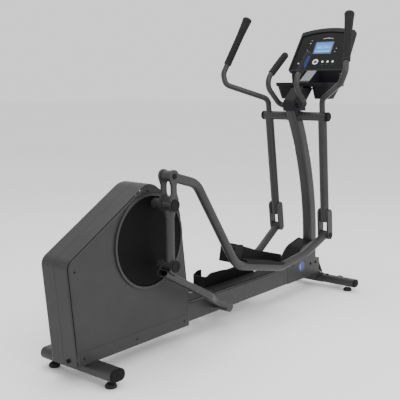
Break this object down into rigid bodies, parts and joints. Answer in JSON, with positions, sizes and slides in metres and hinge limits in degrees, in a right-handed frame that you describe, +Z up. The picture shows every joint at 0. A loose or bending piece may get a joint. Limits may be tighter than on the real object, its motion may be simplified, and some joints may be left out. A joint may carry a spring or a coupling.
{
  "type": "elliptical trainer",
  "caption": "Rear-drive elliptical cross trainer: crank-driven pedal levers with swinging handles, fixed handlebar, console and levelling feet.",
  "frame": {"origin": "on the floor, under the middle of the machine's length and width", "axes": "+X forward towards the console, +Y to the user's left, +Z up"},
  "size_m": [2.1679, 0.8176, 1.614],
  "materials": {
    "frame_paint": "satin charcoal powder coat",
    "link_paint": "satin charcoal powder coat",
    "grip_rubber": "textured, matt",
    "pedal_plastic": "ribbed, matt",
    "cap_plastic": "matt black",
    "disc_plastic": "matt black",
    "housing_plastic": "fine grain, satin",
    "wheel_rubber": "matt",
    "console_plastic": "fine grain",
    "panel_plastic": "semi-gloss overlay",
    "screen_glass": "lit blue display",
    "button_plastic": "light grey, satin",
    "bare_steel": "zinc plated",
    "foot_rubber": "matt",
    "drive_steel": "black",
    "cast_flywheel": "turned",
    "belt_rubber": "ribbed",
    "pulley_alloy": "as machined"
  },
  "bodies": {
    "root": {"base_covers": "cap_plastic", "console_body": "console_plastic", "console_bracket": "drive_steel", "console_panel": "panel_plastic", "console_screen": "screen_glass", "console_tray": "console_plastic", "drive_bearings": "bare_steel", "drive_belt": "belt_rubber", "drive_frame": "drive_steel", "fixed_handlebar": "frame_paint", "front_stabilizer": "frame_paint", "housing_rims": "frame_paint", "left_base_shroud": "frame_paint", "left_housing": "housing_plastic", "leveler_nuts": "bare_steel", "main_rail": "frame_paint", "mast_frame": "frame_paint", "neck_shroud": "console_plastic", "pivot_end_caps": "cap_plastic", "power_inlet": "cap_plastic", "pulse_grips": "grip_rubber", "rail_cover": "cap_plastic", "rear_stabilizer": "frame_paint", "right_base_shroud": "frame_paint", "right_housing": "housing_plastic", "stabilizer_end_caps": "cap_plastic"},
    "crank": {"crank_pulley": "pulley_alloy", "right_crank_arm": "link_paint", "left_crank_arm": "link_paint", "right_crank_disc": "disc_plastic", "left_crank_disc": "disc_plastic"},
    "flywheel": {"flywheel": "cast_flywheel"},
    "right_coupler": {"right_coupler_casting": "link_paint", "right_coupler_caps": "cap_plastic", "right_coupler_leg": "link_paint"},
    "right_rocker": {"right_rocker_link": "link_paint"},
    "right_hand_lever": {"right_hand_lever": "link_paint", "right_handle": "link_paint", "right_grip": "grip_rubber"},
    "right_pedal_lever": {"right_pedal_lever": "link_paint", "right_pedal": "pedal_plastic"},
    "right_transport_wheel": {"right_transport_wheel": "wheel_rubber"},
    "left_coupler": {"left_coupler_casting": "link_paint", "left_coupler_caps": "cap_plastic", "left_coupler_leg": "link_paint"},
    "left_rocker": {"left_rocker_link": "link_paint"},
    "left_hand_lever": {"left_hand_lever": "link_paint", "left_handle": "link_paint", "left_grip": "grip_rubber"},
    "left_pedal_lever": {"left_pedal_lever": "link_paint", "left_pedal": "pedal_plastic"},
    "left_transport_wheel": {"left_transport_wheel": "wheel_rubber"},
    "rear_right_leveler": {"rear_right_leveler": "foot_rubber"},
    "rear_left_leveler": {"rear_left_leveler": "foot_rubber"},
    "front_right_leveler": {"front_right_leveler": "foot_rubber"},
    "front_left_leveler": {"front_left_leveler": "foot_rubber"},
    "start_button": {"start_button": "button_plastic"},
    "program_button": {"program_button": "button_plastic"},
    "level_button": {"level_button": "button_plastic"},
    "nav_ring": {"nav_ring": "button_plastic"}
  },
  "joints": [
    {"name": "crank_turn", "type": "hinge", "parent": "root", "child": "crank", "pos_m": [-0.62, 0, 0.542], "axis": [0, 1, 0], "range_deg": [0, 60]},
    {"name": "flywheel_spin", "type": "hinge", "parent": "root", "child": "flywheel", "pos_m": [-0.88, 0, 0.33], "axis": [0, 1, 0], "range_deg": [0, 360]},
    {"name": "right_coupler_pivot", "type": "hinge", "parent": "crank", "child": "right_coupler", "pos_m": [-0.59267, -0.178, 0.70979], "axis": [0, 1, 0], "range_deg": [-23.2, 0]},
    {"name": "right_rocker_pivot", "type": "hinge", "parent": "right_coupler", "child": "right_rocker", "pos_m": [-0.58774, -0.178, 0.43983], "axis": [0, 1, 0], "range_deg": [-43.63, 0]},
    {"name": "right_hand_lever_pivot", "type": "hinge", "parent": "root", "child": "right_hand_lever", "pos_m": [0.69, -0.178, 1.044], "axis": [0, 1, 0], "range_deg": [-23.49, 0]},
    {"name": "right_pedal_lever_pivot", "type": "hinge", "parent": "right_hand_lever", "child": "right_pedal_lever", "pos_m": [0.75629, -0.178, 0.36372], "axis": [0, 1, 0], "range_deg": [0, 14.66]},
    {"name": "left_coupler_pivot", "type": "hinge", "parent": "crank", "child": "left_coupler", "pos_m": [-0.64733, 0.178, 0.37421], "axis": [0, 1, 0], "range_deg": [-90.85, 0]},
    {"name": "left_rocker_pivot", "type": "hinge", "parent": "left_coupler", "child": "left_rocker", "pos_m": [-0.67854, 0.178, 0.10602], "axis": [0, 1, 0], "range_deg": [0, 43.77]},
    {"name": "left_hand_lever_pivot", "type": "hinge", "parent": "root", "child": "left_hand_lever", "pos_m": [0.69, 0.178, 1.044], "axis": [0, 1, 0], "range_deg": [0, 17.8]},
    {"name": "left_pedal_lever_pivot", "type": "hinge", "parent": "left_hand_lever", "child": "left_pedal_lever", "pos_m": [0.79219, 0.178, 0.36818], "axis": [0, 1, 0], "range_deg": [-13.89, 0]},
    {"name": "rear_right_leveler_turn", "type": "hinge", "parent": "root", "child": "rear_right_leveler", "pos_m": [-0.953, -0.178, 0.02], "axis": [0, 0, 1], "continuous": true},
    {"name": "rear_left_leveler_turn", "type": "hinge", "parent": "root", "child": "rear_left_leveler", "pos_m": [-0.953, 0.178, 0.02], "axis": [0, 0, 1], "continuous": true},
    {"name": "front_right_leveler_turn", "type": "hinge", "parent": "root", "child": "front_right_leveler", "pos_m": [0.938, -0.237, 0.02], "axis": [0, 0, 1], "continuous": true},
    {"name": "front_left_leveler_turn", "type": "hinge", "parent": "root", "child": "front_left_leveler", "pos_m": [0.938, 0.237, 0.02], "axis": [0, 0, 1], "continuous": true},
    {"name": "right_wheel_spin", "type": "hinge", "parent": "root", "child": "right_transport_wheel", "pos_m": [1, -0.15, 0.038], "axis": [0, 1, 0], "continuous": true},
    {"name": "left_wheel_spin", "type": "hinge", "parent": "root", "child": "left_transport_wheel", "pos_m": [1, 0.15, 0.038], "axis": [0, 1, 0], "continuous": true},
    {"name": "start_button_press", "type": "slide", "parent": "root", "child": "start_button", "axis": [0.848, 0, -0.5299], "range_m": [0, 0.0015], "stiffness_N_per_m": 400, "springref_m": -0.002},
    {"name": "program_button_press", "type": "slide", "parent": "root", "child": "program_button", "axis": [0.848, 0, -0.5299], "range_m": [0, 0.0015], "stiffness_N_per_m": 400, "springref_m": -0.002},
    {"name": "level_button_press", "type": "slide", "parent": "root", "child": "level_button", "axis": [0.848, 0, -0.5299], "range_m": [0, 0.0015], "stiffness_N_per_m": 400, "springref_m": -0.002},
    {"name": "nav_ring_press", "type": "slide", "parent": "root", "child": "nav_ring", "axis": [0.848, 0, -0.5299], "range_m": [0, 0.0015], "stiffness_N_per_m": 400, "springref_m": -0.002}
  ],
  "couplings": [
    {"joint": "flywheel_spin", "follows": "crank_turn", "ratio": 6},
    {"joint": "right_coupler_pivot", "follows": "crank_turn", "ratio": -0.38341},
    {"joint": "right_rocker_pivot", "follows": "crank_turn", "ratio": -0.72385},
    {"joint": "right_hand_lever_pivot", "follows": "crank_turn", "ratio": -0.38822},
    {"joint": "right_pedal_lever_pivot", "follows": "crank_turn", "ratio": 0.24105},
    {"joint": "left_coupler_pivot", "follows": "crank_turn", "ratio": -1.5108},
    {"joint": "left_rocker_pivot", "follows": "crank_turn", "ratio": 0.72621},
    {"joint": "left_hand_lever_pivot", "follows": "crank_turn", "ratio": 0.29335},
    {"joint": "left_pedal_lever_pivot", "follows": "crank_turn", "ratio": -0.2282}
  ]
}
